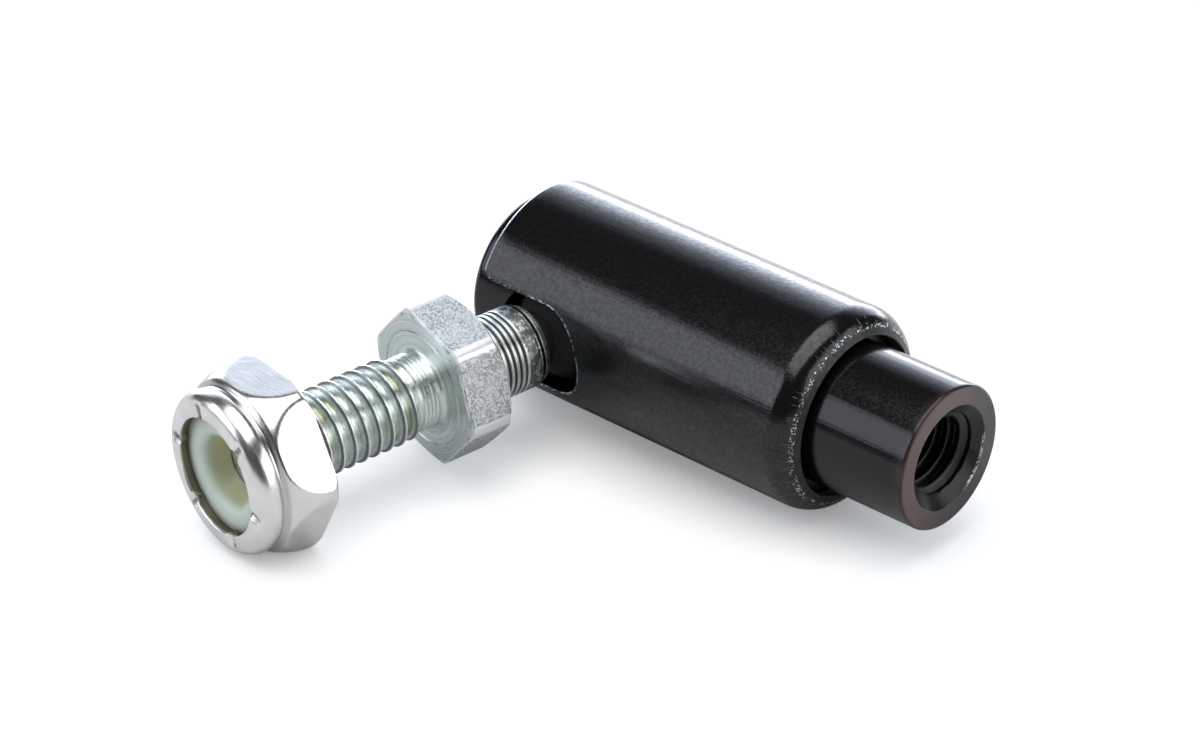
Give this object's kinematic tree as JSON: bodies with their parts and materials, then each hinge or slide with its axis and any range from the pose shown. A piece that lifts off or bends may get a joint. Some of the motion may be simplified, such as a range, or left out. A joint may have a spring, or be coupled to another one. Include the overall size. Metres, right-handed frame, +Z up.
{
  "type": "throttle linkage connector",
  "caption": "Quick-release ball joint: a slotted sprung sleeve over a threaded socket holds a ball stud with a hexagon, a thread and a thin lock nut.",
  "frame": {"origin": "on the sleeve's axis, where the countersink in the neck's end face meets the rod thread", "axes": "+X along the sleeve's axis out of the threaded mouth, the stud leaves towards -Y, +Z up as the part lies"},
  "size_m": [0.033, 0.0322, 0.0116],
  "materials": {
    "black_body": "glossy black finish on steel, worn brown at the end face",
    "black_sleeve": "glossy black finish on steel, worn along the rolled end",
    "spring_steel": "oiled spring steel",
    "zinc_plate": "zinc plate with a greenish tint",
    "stainless": "bright stainless steel",
    "nylon": "translucent pale nylon"
  },
  "bodies": {
    "socket": {"socket_body": "black_body", "retaining_ring": "spring_steel", "sleeve_spring": "spring_steel"},
    "sleeve": {"locking_sleeve": "black_sleeve"},
    "stud": {"ball_stud": "zinc_plate"},
    "nut": {"lock_nut": "stainless", "nylon_insert": "nylon"}
  },
  "joints": [
    {"name": "sleeve_slide", "type": "slide", "parent": "socket", "child": "sleeve", "axis": [1, 0, 0], "range_m": [0, 0.0062], "stiffness_N_per_m": 2000, "springref_m": -0.005, "deforming": ["sleeve_spring"]},
    {"name": "stud_swing", "type": "hinge", "parent": "socket", "child": "stud", "pos_m": [-0.02322, -0.00219, -0.00019], "axis": [0, 0, 1], "range_deg": [-8, 18]},
    {"name": "nut_spin", "type": "hinge", "parent": "stud", "child": "nut", "pos_m": [-0.02664, -0.02158, -0.0009], "axis": [-0.1735, -0.9842, -0.036], "continuous": true}
  ]
}
